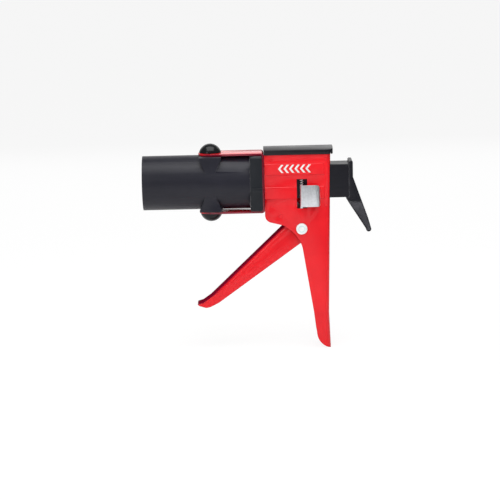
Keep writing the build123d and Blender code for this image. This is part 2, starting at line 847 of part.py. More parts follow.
os.makedirs("parts", exist_ok=True)
save("cartridge_sleeve", sleeve())
for name, side in (("upper", 1), ("lower", -1)):
    save(f"trunnion_knob_{name}", knob(side))
    save(f"trunnion_washer_{name}", washer(side))
save("yoke", yoke())
save("yoke_screws", Compound(yoke_screws()))
save("collar", collar())
save("collar_screws", Compound(collar_screws()))
save("ram_outer", ram_outer())
save("ram_inner", ram_inner())
save("brake_plunger", brake_plunger())
save("pusher_disc", pusher_disc())
save("pusher_screw", pusher_screw())
save("pull_handle", pull_handle())
save("pull_handle_screws", Compound(pull_handle_screws()))
save("housing_frame", housing())
save("guide_rivets", Compound([cross_pin(x, z, rivet_r) for x, z in rivet_places()]))
save("ram_guide_front", ram_guide((house_x + guide_play, house_x + front_guide_t), front_guide_chamfer))
save("ram_guide_rear", ram_guide(rear_guide_x, rear_guide_chamfer))
save("top_cap", top_cap())
save("trigger", trigger())
save("trigger_bush", trigger_bush())
save("trigger_pivot_pin", cross_pin(pivot_x, pivot_z, pivot_pin_r))
save("pivot_caps", Compound(pivot_caps()))
save("trigger_return_spring", trigger_spring())
save("trigger_stop_pin", cross_pin(stop_x, stop_z, small_pin_r))
save("drive_pawl", drive_pawl())
save("drive_pawl_pin", drive_pawl_pin())
save("drive_pawl_spring", drive_pawl_spring())
save("release_lever", release_lever())
save("release_lever_pin", cross_pin(lever_x, lever_z, small_pin_r))
save("lever_spacer", lever_spacer())
save("release_spring", release_spring())
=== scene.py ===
import json
import math

import bmesh
import bpy
from mathutils import Matrix, Vector


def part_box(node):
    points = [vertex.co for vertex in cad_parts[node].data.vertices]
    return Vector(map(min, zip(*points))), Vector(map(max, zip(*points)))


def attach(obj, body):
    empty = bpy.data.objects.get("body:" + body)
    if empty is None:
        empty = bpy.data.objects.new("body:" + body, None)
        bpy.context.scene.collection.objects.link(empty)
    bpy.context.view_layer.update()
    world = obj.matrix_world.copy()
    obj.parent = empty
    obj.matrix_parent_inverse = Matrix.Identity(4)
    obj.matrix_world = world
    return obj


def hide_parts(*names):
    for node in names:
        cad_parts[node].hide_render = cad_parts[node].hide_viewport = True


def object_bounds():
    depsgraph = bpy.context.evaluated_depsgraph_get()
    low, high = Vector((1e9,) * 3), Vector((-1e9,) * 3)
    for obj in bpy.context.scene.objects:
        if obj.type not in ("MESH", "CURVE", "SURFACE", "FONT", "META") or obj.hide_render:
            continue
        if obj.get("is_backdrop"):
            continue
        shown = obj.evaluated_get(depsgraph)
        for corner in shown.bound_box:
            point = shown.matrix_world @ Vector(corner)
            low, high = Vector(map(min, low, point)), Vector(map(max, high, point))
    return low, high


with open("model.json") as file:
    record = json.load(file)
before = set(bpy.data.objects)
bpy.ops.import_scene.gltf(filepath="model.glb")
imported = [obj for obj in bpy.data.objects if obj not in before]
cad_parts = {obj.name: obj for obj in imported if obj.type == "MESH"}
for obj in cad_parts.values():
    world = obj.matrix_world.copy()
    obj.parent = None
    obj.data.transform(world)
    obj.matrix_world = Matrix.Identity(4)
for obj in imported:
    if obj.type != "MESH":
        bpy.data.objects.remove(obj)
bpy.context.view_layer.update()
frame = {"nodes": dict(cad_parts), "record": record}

MM = 0.001
GUN_MIDDLE = Vector((0.04, 0.0, -0.05))
ROOM_LIGHT = 0.20
FLOOR_HALF = 40.0
FLOOR_GLOW = 1.05
FLOOR_SHARE = 0.85
CHEEK_REACH = 0.2 * MM
RIM_REACH = 0.06 * MM
RIM_CATCH = 0.01 * MM
PANEL_RIM = 2.0 * MM
PANEL_DEPTH = 0.8 * MM
PANEL_FADE = (0.3 * MM, 0.6 * MM)
PANEL_FLOOR = 1.2 * MM
MERGE_REACH = 2e-6
FLAT_ANGLE = math.radians(0.6)
PRINT_FILM = 0.15 * MM
PRINT_START = (68.0 * MM, 13.6 * MM)
SCREW_HEAD_R = 3.5 * MM
SCREW_HEAD_H = 2.6 * MM
RECORD = frame["record"]
BODY_OF = {
    node: body
    for body, nodes in RECORD["behaviour"]["bodies"].items()
    for node in nodes
}
SLOT_OF = {row["node"]: row["material_slot"] for row in RECORD["subparts"]}


# ---------------------------------------------------------------- node helpers


class Tree:
    """A small builder for shader and geometry node trees."""

    def __init__(self, tree):
        self.tree = tree

    def add(self, kind, values=None, **settings):
        node = self.tree.nodes.new(kind)
        for key, value in settings.items():
            setattr(node, key, value)
        for key, value in (values or {}).items():
            self.feed(node.inputs[key], value)
        return node

    def feed(self, socket, value):
        if isinstance(value, bpy.types.NodeSocket):
            self.tree.links.new(value, socket)
        else:
            socket.default_value = value

    def math(self, operation, a, b=0.0, clamp=False):
        node = self.add("ShaderNodeMath", {0: a, 1: b}, operation=operation)
        node.use_clamp = clamp
        return node.outputs[0]

    def spread(self, value, low, high, to_low=0.0, to_high=1.0):
        """value from low..high to to_low..to_high, held at the ends."""
        values = {
            "Value": value, "From Min": low, "From Max": high, "To Min": to_low, "To Max": to_high,
        }
        return self.add("ShaderNodeMapRange", values).outputs[0]

    def mix(self, factor, a, b):
        node = self.add("ShaderNodeMix", data_type="RGBA")
        self.feed(node.inputs["Factor"], factor)
        self.feed(node.inputs[6], a)
        self.feed(node.inputs[7], b)
        return node.outputs[2]

    def noise(self, place, scale, detail=3.0, roughness=0.5):
        values = {"Vector": place, "Scale": scale, "Detail": detail, "Roughness": roughness}
        return self.add("ShaderNodeTexNoise", values).outputs["Fac"]


def new_group(name, inputs, outputs):
    """An empty shader group with float inputs {name: default} and outputs [(name, kind)]."""
    group = bpy.data.node_groups.new(name, "ShaderNodeTree")
    for label, default in inputs.items():
        socket = group.interface.new_socket(label, in_out="INPUT", socket_type="NodeSocketFloat")
        socket.default_value = default
    for label, kind in outputs:
        group.interface.new_socket(label, in_out="OUTPUT", socket_type=kind)
    tree = Tree(group)
    entry = tree.add("NodeGroupInput")
    leave = tree.add("NodeGroupOutput")
    return group, tree, entry.outputs, leave.inputs


def place_of(tree, stretch=(1.0, 1.0, 1.0)):
    """Where a point lies on its piece, stretched along some axes."""
    spot = tree.add("ShaderNodeTexCoord").outputs["Object"]
    return tree.add("ShaderNodeMapping", {"Vector": spot, "Scale": stretch}).outputs[0]


# ---------------------------------------------------------------- shared effects


def edge_wear_and_shade_group():
    """1 on sharp outer edges, 0 on flats, in patches: rubbed wear on the dark finishes, worn thin paint
    and painted edge shade on the red enamel.
    """
    inputs = {"Width": 0.0008, "Amount": 1.0, "Patch Size": 0.012, "Evenness": 0.0}
    group, t, given, result = new_group("edge wear and edge shade", inputs, [("Mask", "NodeSocketFloat")])
    rounded = t.add("ShaderNodeBevel", {"Radius": given["Width"]}, samples=4).outputs[0]
    facing = t.add("ShaderNodeNewGeometry").outputs["Normal"]
    dot = t.add("ShaderNodeVectorMath", {0: rounded, 1: facing}, operation="DOT_PRODUCT")
    bend = t.spread(dot.outputs["Value"], 0.995, 0.80)
    patch_scale = t.math("DIVIDE", 1.0, given["Patch Size"])
    patches = t.noise(place_of(t), patch_scale, 4.0, 0.6)
    worn = t.math("MULTIPLY", bend, t.spread(patches, 0.42, 0.62, given["Evenness"], 1.0))
    t.feed(result["Mask"], t.math("MULTIPLY", worn, given["Amount"], clamp=True))
    return group


def film_group():
    """A sprayed or moulded skin: soft lumps, fine texture and slow changes of tone."""
    inputs = {"Lump Size": 0.0022, "Grain Size": 0.0005, "Grain Share": 0.4, "Tone Size": 0.03}
    outputs = [(label, "NodeSocketFloat") for label in ("Height", "Tone", "Fleck")]
    group, t, given, result = new_group("skin", inputs, outputs)
    spot = place_of(t)
    lumps = t.noise(spot, t.math("DIVIDE", 1.0, given["Lump Size"]), 2.0)
    grain = t.noise(spot, t.math("DIVIDE", 1.0, given["Grain Size"]), 3.0, 0.65)
    share = given["Grain Share"]
    rest = t.math("SUBTRACT", 1.0, share)
    height = t.math("ADD", t.math("MULTIPLY", lumps, rest), t.math("MULTIPLY", grain, share))
    t.feed(result["Height"], height)
    tone = t.noise(spot, t.math("DIVIDE", 1.0, given["Tone Size"]), 5.0, 0.6)
    t.feed(result["Tone"], t.spread(tone, 0.3, 0.7))
    t.feed(result["Fleck"], t.spread(grain, 0.60, 0.74))
    return group


def drawn_lines_group():
    """Fine lines left by drawing, rolling or brushing along X."""
    inputs = {"Line Size": 0.0004, "Length": 40.0}
    outputs = [("Height", "NodeSocketFloat"), ("Tone", "NodeSocketFloat")]
    group, t, given, result = new_group("drawn lines", inputs, outputs)
    spot = t.add("ShaderNodeTexCoord").outputs["Object"]
    parts = t.add("ShaderNodeSeparateXYZ", {0: spot}).outputs
    short_x = t.math("DIVIDE", parts["X"], given["Length"])
    stretched = t.add("ShaderNodeCombineXYZ", {"X": short_x, "Y": parts["Y"], "Z": parts["Z"]})
    lines = t.noise(stretched.outputs[0], t.math("DIVIDE", 1.0, given["Line Size"]), 4.0, 0.7)
    t.feed(result["Height"], lines)
    t.feed(result["Tone"], t.spread(lines, 0.35, 0.65))
    return group


def dust_and_shade_group():
    """Darkening in corners and round fittings, from ambient occlusion broken by noise: partly settled
    dust, partly painted shade.
    """
    inputs = {"Reach": 0.004, "Amount": 0.6}
    group, t, given, result = new_group("settled dust and painted shade", inputs, [("Mask", "NodeSocketFloat")])
    hollow = t.add("ShaderNodeAmbientOcclusion", {"Distance": given["Reach"]}, samples=4)
    depth = t.spread(hollow.outputs["AO"], 0.75, 0.25)
    broken = t.spread(t.noise(place_of(t), 260.0, 4.0, 0.6), 0.3, 0.7, 0.4, 1.0)
    t.feed(result["Mask"], t.math("MULTIPLY", t.math("MULTIPLY", depth, broken), given["Amount"]))
    return group


EDGE_WEAR_AND_SHADE = edge_wear_and_shade_group()
SKIN = film_group()
LINES = drawn_lines_group()
DUST_AND_SHADE = dust_and_shade_group()


def new_material(name):
    material = bpy.data.materials.new(name)
    material.use_nodes = True
    tree = Tree(material.node_tree)
    shader = material.node_tree.nodes["Principled BSDF"]
    return material, tree, shader


def use(tree, group, **values):
    """One of the shared effects with its own values."""
    node = tree.add("ShaderNodeGroup", node_tree=group)
    for key, value in values.items():
        tree.feed(node.inputs[key.replace("_", " ").title()], value)
    return node.outputs


def bump(tree, shader, height, strength, distance):
    values = {"Height": height, "Strength": strength, "Distance": distance}
    tree.feed(shader.inputs["Normal"], tree.add("ShaderNodeBump", values).outputs[0])


# ---------------------------------------------------------------- materials


def facing(tree, side):
    """1 where a piece's surface faces along the given direction, 0 from about 50 degrees off it."""
    way = tree.add("ShaderNodeTexCoord").outputs["Normal"]
    dot = tree.add("ShaderNodeVectorMath", {0: way, 1: side}, operation="DOT_PRODUCT")
    return tree.spread(tree.math("ABSOLUTE", dot.outputs["Value"]), 0.66, 0.90)


def red_enamel(
    name, edge_width, edge_amount, dust_shade_reach, dust_shade_amount, coat=0.0, shaded_side=None
):
    """Stoved red enamel with a little orange peel, darker at edges (worn thin paint and painted edge
    shade), and with painted shade and, when uncoated, less gloss on faces along shaded_side.
    """
    material, t, shader = new_material(name)
    skin = use(t, SKIN, lump_size=0.0026, grain_size=0.0006, grain_share=0.25, tone_size=0.035)
    colour = t.mix(skin["Tone"], (0.72, 0.007, 0.014, 1), (0.84, 0.012, 0.019, 1))
    # Dust and painted shade: the red goes dark where ambient occlusion finds corners and gaps, such as
    # the trigger just under the housing's edge.
    dust_and_shade = use(t, DUST_AND_SHADE, reach=dust_shade_reach, amount=dust_shade_amount)["Mask"]
    colour = t.mix(dust_and_shade, colour, (0.10, 0.002, 0.008, 1))
    # Painted shade on the edges: the red turns dark crimson along them, partly thin paint, partly the
    # shade of the sheared strap edges and the housing's lower edge.
    dark_edge = {"width": edge_width, "amount": edge_amount, "patch_size": 0.006, "evenness": 0.7}
    thin_paint_and_edge_shade = use(t, EDGE_WEAR_AND_SHADE, **dark_edge)["Mask"]
    colour = t.mix(thin_paint_and_edge_shade, colour, (0.22, 0.003, 0.022, 1))
    # Painted shade: faces along shaded_side are coloured dark crimson, as if they caught little light.
    if shaded_side:
        deep = facing(t, shaded_side)
        colour = t.mix(deep, colour, (0.24, 0.004, 0.024, 1))
    t.feed(shader.inputs["Base Color"], colour)
    t.feed(shader.inputs["Roughness"], t.spread(skin["Tone"], 0.0, 1.0, 0.20, 0.27))
    shader.inputs["Specular IOR Level"].default_value = 0.35
    # The same painted-shade faces lose their gloss when there is no coat.
    if shaded_side and not coat:
        t.feed(shader.inputs["Specular IOR Level"], t.spread(deep, 0.0, 1.0, 0.35, 0.0))
    shader.inputs["Coat Weight"].default_value = coat
    shader.inputs["Coat Roughness"].default_value = 0.12
    bump(t, shader, skin["Height"], 0.08, 0.0004)
    return material


def sleeve_coat():
    """Blue-black satin coat on the cartridge sleeve, with coarse bright flecks in its gloss."""
    material, t, shader = new_material("blue-black satin coat")
    skin = use(t, SKIN, lump_size=0.0014, grain_size=0.0007, grain_share=0.6, tone_size=0.04)
    colour = t.mix(skin["Tone"], (0.0085, 0.0085, 0.0150, 1), (0.0140, 0.0140, 0.0225, 1))
    # Dust and painted shade in the sleeve's corners.
    dust_and_shade = use(t, DUST_AND_SHADE, reach=0.003, amount=0.35)["Mask"]
    colour = t.mix(dust_and_shade, colour, (0.006, 0.006, 0.009, 1))
    worn = use(t, EDGE_WEAR_AND_SHADE, width=0.0006, amount=0.5, patch_size=0.008)["Mask"]
    colour = t.mix(worn, colour, (0.17, 0.17, 0.19, 1))
    t.feed(shader.inputs["Base Color"], colour)
    rough = t.spread(skin["Fleck"], 0.0, 1.0, 0.42, 0.22)
    t.feed(shader.inputs["Roughness"], rough)
    shader.inputs["Specular IOR Level"].default_value = 0.35
    bump(t, shader, skin["Height"], 0.22, 0.0004)
    return material


def moulded_black(name, dark, light, low_rough, high_rough, grain, strength):
    """Black moulded plastic with a spark-eroded texture."""
    material, t, shader = new_material(name)
    skin = use(t, SKIN, lump_size=grain * 3, grain_size=grain, grain_share=0.7, tone_size=0.03)
    colour = t.mix(skin["Tone"], (*dark, 1), (*light, 1))
    worn = use(t, EDGE_WEAR_AND_SHADE, width=0.0006, amount=0.45, patch_size=0.009)["Mask"]
    colour = t.mix(worn, colour, (0.14, 0.145, 0.155, 1))
    t.feed(shader.inputs["Base Color"], colour)
    t.feed(shader.inputs["Roughness"], t.spread(skin["Tone"], 0.0, 1.0, low_rough, high_rough))
    shader.inputs["Specular IOR Level"].default_value = 0.30
    bump(t, shader, skin["Height"], strength, 0.0003)
    return material


def cheek_panel(tree):
    """1 on the floors of the sunk panels on the pull handle's cheeks."""
    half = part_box("pull_handle")[1][1]
    spot = tree.add("ShaderNodeTexCoord").outputs["Object"]
    parts = tree.add("ShaderNodeSeparateXYZ", {0: spot}).outputs
    out = tree.math("ABSOLUTE", parts["Y"])
    sunk = tree.spread(out, half - PANEL_FADE[0], half - PANEL_FADE[1])
    proud = tree.math("GREATER_THAN", out, half - PANEL_FLOOR)
    return tree.math("MULTIPLY", sunk, proud)


def blacked_steel(name, line_size, panel=False):
    """Black-finished steel, drawn or rolled along its length, bright where it rubs."""
    material, t, shader = new_material(name)
    lines = use(t, LINES, line_size=line_size, length=30.0)
    skin = use(t, SKIN, lump_size=0.003, grain_size=0.0006, grain_share=0.5, tone_size=0.03)
    colour = t.mix(lines["Tone"], (0.0055, 0.0055, 0.009, 1), (0.011, 0.011, 0.016, 1))
    if panel:
        # The panel floors are drawn a lighter grey, in patches.
        lighter_panel = t.math("MULTIPLY", cheek_panel(t), skin["Tone"])
        colour = t.mix(lighter_panel, colour, (0.075, 0.075, 0.085, 1))
    worn = use(t, EDGE_WEAR_AND_SHADE, width=0.0008, amount=0.8, patch_size=0.010)["Mask"]
    colour = t.mix(worn, colour, (0.30, 0.30, 0.32, 1))
    t.feed(shader.inputs["Base Color"], colour)
    t.feed(shader.inputs["Metallic"], t.spread(worn, 0.0, 1.0, 0.05, 0.85))
    shader.inputs["Specular IOR Level"].default_value = 0.30
    t.feed(shader.inputs["Roughness"], t.spread(skin["Tone"], 0.0, 1.0, 0.34, 0.46))
    bump(t, shader, lines["Height"], 0.15, 0.0002)
    return material


def plated_steel(name, tint, low_rough, high_rough, line_size):
    """Zinc-plated or bright steel, with rolling lines and a faint cloudy spangle."""
    material, t, shader = new_material(name)
    lines = use(t, LINES, line_size=line_size, length=18.0)
    cloud = t.noise(place_of(t), 420.0, 3.0, 0.6)
    light = tuple(min(1.0, c * 1.18) for c in tint)
    colour = t.mix(t.spread(cloud, 0.35, 0.65), (*tint, 1), (*light, 1))
    # Dust and painted shade in the corners of the plated parts.
    dust_and_shade = use(t, DUST_AND_SHADE, reach=0.002, amount=0.6)["Mask"]
    colour = t.mix(dust_and_shade, colour, (0.10, 0.095, 0.09, 1))
    t.feed(shader.inputs["Base Color"], colour)
    shader.inputs["Metallic"].default_value = 1.0
    cloudy = t.spread(cloud, 0.3, 0.7, low_rough, high_rough)
    rough = t.math("ADD", cloudy, t.math("MULTIPLY", lines["Tone"], 0.06))
    t.feed(shader.inputs["Roughness"], rough)
    bump(t, shader, lines["Height"], 0.10, 0.0002)
    return material


def pale_nylon():
    material, t, shader = new_material("natural nylon")
    skin = use(t, SKIN, lump_size=0.002, grain_size=0.0005, grain_share=0.4, tone_size=0.006)
    colour = t.mix(skin["Tone"], (0.62, 0.59, 0.52, 1), (0.74, 0.72, 0.66, 1))
    t.feed(shader.inputs["Base Color"], colour)
    t.feed(shader.inputs["Roughness"], t.spread(skin["Tone"], 0.0, 1.0, 0.40, 0.52))
    bump(t, shader, skin["Height"], 0.1, 0.0002)
    return material


def white_button_plastic():
    """Glossy white plastic with a pale blue-green ring moulded round its middle."""
    material, t, shader = new_material("white button plastic")
    pivot = joint_place("trigger_squeeze")
    spot = t.add("ShaderNodeTexCoord").outputs["Object"]
    parts = t.add("ShaderNodeSeparateXYZ", {0: spot}).outputs
    across = t.math("SUBTRACT", parts["X"], pivot.x)
    up = t.math("SUBTRACT", parts["Z"], pivot.z)
    reach = t.math("SQRT", t.math("ADD", t.math("POWER", across, 2.0), t.math("POWER", up, 2.0)))
    ring = t.spread(t.math("ABSOLUTE", t.math("SUBTRACT", reach, 0.0030)), 0.0007, 0.0004)
    skin = use(t, SKIN, lump_size=0.002, grain_size=0.0004, grain_share=0.3, tone_size=0.005)
    white = t.mix(skin["Tone"], (0.80, 0.83, 0.83, 1), (0.88, 0.90, 0.89, 1))
    colour = t.mix(t.math("MULTIPLY", ring, 0.6), white, (0.42, 0.66, 0.66, 1))
    # Dust and painted shade round the button.
    dust_and_shade = use(t, DUST_AND_SHADE, reach=0.002, amount=0.5)["Mask"]
    colour = t.mix(dust_and_shade, colour, (0.35, 0.30, 0.29, 1))
    t.feed(shader.inputs["Base Color"], colour)
    t.feed(shader.inputs["Roughness"], t.spread(skin["Tone"], 0.0, 1.0, 0.24, 0.32))
    bump(t, shader, skin["Height"], 0.05, 0.0002)
    return material


def white_print():
    """A thin screen-printed mark, slightly uneven."""
    material, t, shader = new_material("white print")
    skin = use(t, SKIN, lump_size=0.002, grain_size=0.0004, grain_share=0.5, tone_size=0.004)
    colour = t.mix(skin["Tone"], (0.74, 0.70, 0.69, 1), (0.86, 0.84, 0.83, 1))
    t.feed(shader.inputs["Base Color"], colour)
    t.feed(shader.inputs["Roughness"], t.spread(skin["Tone"], 0.0, 1.0, 0.42, 0.55))
    bump(t, shader, skin["Height"], 0.08, 0.0001)
    return material


def joint_place(name):
    for joint in RECORD["behaviour"]["joints"]:
        if joint["name"] == name:
            return Vector(joint["pos_m"])
    raise KeyError(name)


FINISH = {
    "red_paint": red_enamel("red enamel", 0.0005, 0.6, 0.003, 0.7),
    "sleeve_black": sleeve_coat(),
    "knob_black": moulded_black(
        "knob black", (0.004, 0.005, 0.006), (0.008, 0.009, 0.011), 0.20, 0.30, 0.0006, 0.08
    ),
    "collar_black": moulded_black(
        "collar black", (0.006, 0.008, 0.011), (0.011, 0.013, 0.017), 0.34, 0.46, 0.0005, 0.25
    ),
    "cap_black": moulded_black(
        "cap black", (0.006, 0.006, 0.009), (0.010, 0.010, 0.014), 0.26, 0.38, 0.0005, 0.22
    ),
    "guide_plastic": moulded_black(
        "liner black", (0.008, 0.008, 0.009), (0.014, 0.014, 0.016), 0.45, 0.6, 0.0006, 0.15
    ),
    "ram_black": blacked_steel("blacked ram steel", 0.0004),
    "hook_black": blacked_steel("blacked hook steel", 0.0007, True),
    "tab_zinc": plated_steel("zinc-plated tab steel", (0.72, 0.74, 0.77), 0.34, 0.46, 0.0004),
    "zinc_fastener": plated_steel("zinc fastener", (0.55, 0.55, 0.56), 0.26, 0.40, 0.0005),
    "zinc_steel": plated_steel("plated ram steel", (0.56, 0.56, 0.58), 0.28, 0.42, 0.0004),
    "pusher_steel": plated_steel("pusher steel", (0.58, 0.58, 0.60), 0.26, 0.38, 0.0005),
    "spring_steel": plated_steel("bright spring wire", (0.62, 0.61, 0.60), 0.18, 0.28, 0.0003),
    "pawl_steel": plated_steel("hardened pawl steel", (0.30, 0.29, 0.29), 0.32, 0.46, 0.0005),
    "nylon": pale_nylon(),
    "button_white": white_button_plastic(),
}
PRINT = white_print()
# The yoke and trigger carry painted shade: wider dark edges, more corner darkening, and dark crimson on
# the faces along the side given last (the yoke's sheared strap edges, the trigger's front fold).
NODE_FINISH = {
    "yoke": red_enamel(
        "red enamel on the yoke", 0.0012, 0.85, 0.006, 0.8, 0.6, (0.0, 1.0, 0.0)
    ),
    "trigger": red_enamel(
        "red enamel on the trigger", 0.0010, 0.85, 0.006, 0.8, 0.0, (-0.684, 0.0, 0.729)
    ),
    "guide_rivets": red_enamel("red enamel on the rivets", 0.0003, 0.2, 0.001, 0.2),
}


def finish_of(node):
    return NODE_FINISH.get(node, FINISH[SLOT_OF[node]])


# ---------------------------------------------------------------- pieces


def link(name, mesh):
    piece = bpy.data.objects.new(name, mesh)
    bpy.context.scene.collection.objects.link(piece)
    return piece


def settle(piece, body, slot, material, *nodes):
    """Gives a finished piece its material and body, and hides the CAD nodes it stands for."""
    piece.data.materials.clear()
    piece.data.materials.append(material)
    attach(piece, body)
    if nodes:
        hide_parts(*nodes)
    return piece


def clean_copy(node):
    """A merged copy of a CAD node's mesh, its flat faces made whole again."""
    mesh = frame["nodes"][node].data.copy()
    mesh.materials.clear()
    work = bmesh.new()
    work.from_mesh(mesh)
    bmesh.ops.remove_doubles(work, verts=work.verts, dist=MERGE_REACH)
    bmesh.ops.dissolve_limit(work, angle_limit=FLAT_ANGLE, verts=work.verts, edges=work.edges)
    work.to_mesh(mesh)
    work.free()
    return mesh


def ease_edges(piece, radius, segments, angle):
    """Smooth shading and small rounded edges, as a modifier."""
    for face in piece.data.polygons:
        face.use_smooth = True
    ease = piece.modifiers.new("eased edges", "BEVEL")
    ease.width = radius
    ease.segments = segments
    ease.limit_method = "ANGLE"
    ease.angle_limit = math.radians(angle)
    ease.harden_normals = True
    ease.miter_outer = "MITER_ARC"


def stand_rim_close():
    """The sleeve's rear rim, drawn back until it all but touches the collar."""
    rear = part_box("cartridge_sleeve")[1][0]
    piece = bpy.data.objects["cartridge_sleeve_eased"]
    for vertex in piece.data.vertices:
        if vertex.co.x > rear - RIM_CATCH:
            vertex.co.x += RIM_REACH


def eased(node, radius, segments=3, angle=38.0):
    """A node rebuilt with its sharp edges eased by a small radius."""
    piece = link(f"{node}_eased", clean_copy(node))
    ease_edges(piece, radius, segments, angle)
    slot = SLOT_OF[node]
    return settle(piece, BODY_OF[node], slot, finish_of(node), node)


EASED = {
    "cartridge_sleeve": 0.5,
    "collar": 0.6,
    "yoke": 0.35,
    "housing_frame": 0.35,
    "top_cap": 0.9,
    "ram_outer": 0.4,
    "ram_inner": 0.3,
    "pusher_disc": 0.4,
    "pusher_screw": 0.3,
    "trigger": 0.4,
    "release_lever": 0.35,
    "pivot_caps": 0.35,
    "trunnion_knob_upper": 0.5,
    "trunnion_knob_lower": 0.5,
}


REMADE = ("pull_handle", "pull_handle_screws")


def build_eased_pieces():
    for node, radius in EASED.items():
        eased(node, radius * MM)


def panelled_handle():
    """The pull handle with its bevelled edges and a sunk panel on each side of the leg."""
    mesh = clean_copy("pull_handle")
    work = bmesh.new()
    work.from_mesh(mesh)
    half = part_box("pull_handle")[1][1]
    cheeks = [
        face for face in work.faces
        if abs(face.normal.y) > 0.99 and abs(face.calc_center_median().y) > half - CHEEK_REACH
    ]
    bmesh.ops.inset_region(work, faces=cheeks, thickness=PANEL_RIM, depth=-PANEL_DEPTH)
    work.to_mesh(mesh)
    work.free()
    handle = link("pull_handle_panelled", mesh)
    ease_edges(handle, 0.4 * MM, 3, 25.0)
    settle(handle, "ram", "hook_black", FINISH["hook_black"], "pull_handle")


# ---------------------------------------------------------------- repeated pieces


def new_repeat(name, inputs):
    """A geometry node tree with named inputs {name: (kind, default)}; returns its parts."""
    group = bpy.data.node_groups.new(name, "GeometryNodeTree")
    for label, (kind, default) in inputs.items():
        socket = group.interface.new_socket(label, in_out="INPUT", socket_type=f"NodeSocket{kind}")
        if default is not None:
            socket.default_value = default
    group.interface.new_socket("Geometry", in_out="OUTPUT", socket_type="NodeSocketGeometry")
    tree = Tree(group)
    return group, tree, tree.add("NodeGroupInput").outputs, tree.add("NodeGroupOutput").inputs


def finish_repeat(tree, given, leave, copies):
    solid = tree.add("GeometryNodeRealizeInstances", {"Geometry": copies}).outputs[0]
    coated = tree.add("GeometryNodeSetMaterial", {"Geometry": solid, "Material": given["Material"]})
    tree.feed(leave["Geometry"], coated.outputs[0])


def row_of(tree, thing, count, step):
    """Copies of a thing set along a straight row that starts at the origin."""
    line = tree.add("GeometryNodeMeshLine", {"Count": count, "Offset": step}).outputs[0]
    values = {"Points": line, "Instance": thing}
    return tree.add("GeometryNodeInstanceOnPoints", values).outputs[0]


def chevron_tree():
    """A row of thin chevrons in the XZ plane that point along -X."""
    inputs = {
        "Count": ("Int", 5), "Pitch": ("Float", 0.006), "Height": ("Float", 0.008),
        "Stroke": ("Float", 0.0015), "Film": ("Float", 0.0001), "Lean": ("Float", 0.8),
        "Material": ("Material", None),
    }
    group, t, given, leave = new_repeat("printed chevrons", inputs)
    values = {"X": given["Stroke"], "Y": given["Film"], "Z": given["Height"]}
    size = t.add("ShaderNodeCombineXYZ", values).outputs[0]
    counts = {"Size": size, "Vertices X": 2, "Vertices Y": 2, "Vertices Z": 3}
    bar = t.add("GeometryNodeMeshCube", counts).outputs[0]
    place = t.add("GeometryNodeInputPosition").outputs[0]
    up = t.add("ShaderNodeSeparateXYZ", {0: place}).outputs["Z"]
    back = t.math("MULTIPLY", t.math("ABSOLUTE", up), given["Lean"])
    shift = t.add("ShaderNodeCombineXYZ", {"X": back}).outputs[0]
    bent = t.add("GeometryNodeSetPosition", {"Geometry": bar, "Offset": shift}).outputs[0]
    step = t.add("ShaderNodeCombineXYZ", {"X": given["Pitch"]}).outputs[0]
    finish_repeat(t, given, leave, row_of(t, bent, given["Count"], step))
    return group


def socket_screw_tree():
    """A column of socket-head screws along X, heads towards +X, set one below the other."""
    inputs = {
        "Count": ("Int", 2), "Drop": ("Float", 0.016), "Head Radius": ("Float", 0.0035),
        "Head Height": ("Float", 0.003), "Shank Radius": ("Float", 0.002),
        "Shank Length": ("Float", 0.008), "Socket Radius": ("Float", 0.0016),
        "Socket Depth": ("Float", 0.0016), "Material": ("Material", None),
    }
    group, t, given, leave = new_repeat("socket screws", inputs)

    def rod_along_x(radius, length, middle, sides, turn=0.0):
        values = {"Vertices": sides, "Radius": radius, "Depth": length}
        rod = t.add("GeometryNodeMeshCylinder", values).outputs[0]
        shift = t.add("ShaderNodeCombineXYZ", {"X": middle}).outputs[0]
        tilt = (turn, math.pi / 2, 0.0)
        values = {"Geometry": rod, "Translation": shift, "Rotation": tilt}
        return t.add("GeometryNodeTransform", values).outputs[0]

    half = t.math("MULTIPLY", given["Head Height"], 0.5)
    head = rod_along_x(given["Head Radius"], given["Head Height"], half, 48)
    sunk = t.math("SUBTRACT", given["Head Height"], t.math("MULTIPLY", given["Socket Depth"], 0.5))
    deep = t.math("MULTIPLY", given["Socket Depth"], 1.02)
    socket = rod_along_x(given["Socket Radius"], deep, sunk, 6)
    cut = t.add("GeometryNodeMeshBoolean", operation="DIFFERENCE")
    t.feed(cut.inputs[0], head)
    t.feed(cut.inputs[1], socket)
    back = t.math("MULTIPLY", given["Shank Length"], -0.5)
    shank = rod_along_x(given["Shank Radius"], given["Shank Length"], back, 32)
    joined = t.add("GeometryNodeJoinGeometry")
    t.tree.links.new(cut.outputs[0], joined.inputs[0])
    t.tree.links.new(shank, joined.inputs[0])
    drop = t.math("MULTIPLY", given["Drop"], -1.0)
    step = t.add("ShaderNodeCombineXYZ", {"Z": drop}).outputs[0]
    finish_repeat(t, given, leave, row_of(t, joined.outputs[0], given["Count"], step))
    return group


def grow(name, group, material, values, place):
    """The plain mesh that a geometry tree makes with the given inputs, moved to its place."""
    seed = link("seed", bpy.data.meshes.new("seed"))
    modifier = seed.modifiers.new("repeat", "NODES")
    modifier.node_group = group
    keys = {item.name: item.identifier for item in group.interface.items_tree if item.in_out == "INPUT"}
    for label, value in values.items():
        modifier[keys[label]] = value
    modifier[keys["Material"]] = material
    ready = seed.evaluated_get(bpy.context.evaluated_depsgraph_get())
    mesh = bpy.data.meshes.new_from_object(ready)
    mesh.name = name
    mesh.transform(Matrix.Translation(place))
    work = bmesh.new()
    work.from_mesh(mesh)
    bmesh.ops.remove_doubles(work, verts=work.verts, dist=MERGE_REACH)
    bmesh.ops.recalc_face_normals(work, faces=work.faces)
    work.to_mesh(mesh)
    work.free()
    bpy.data.objects.remove(seed, do_unlink=True)
    return link(name, mesh)


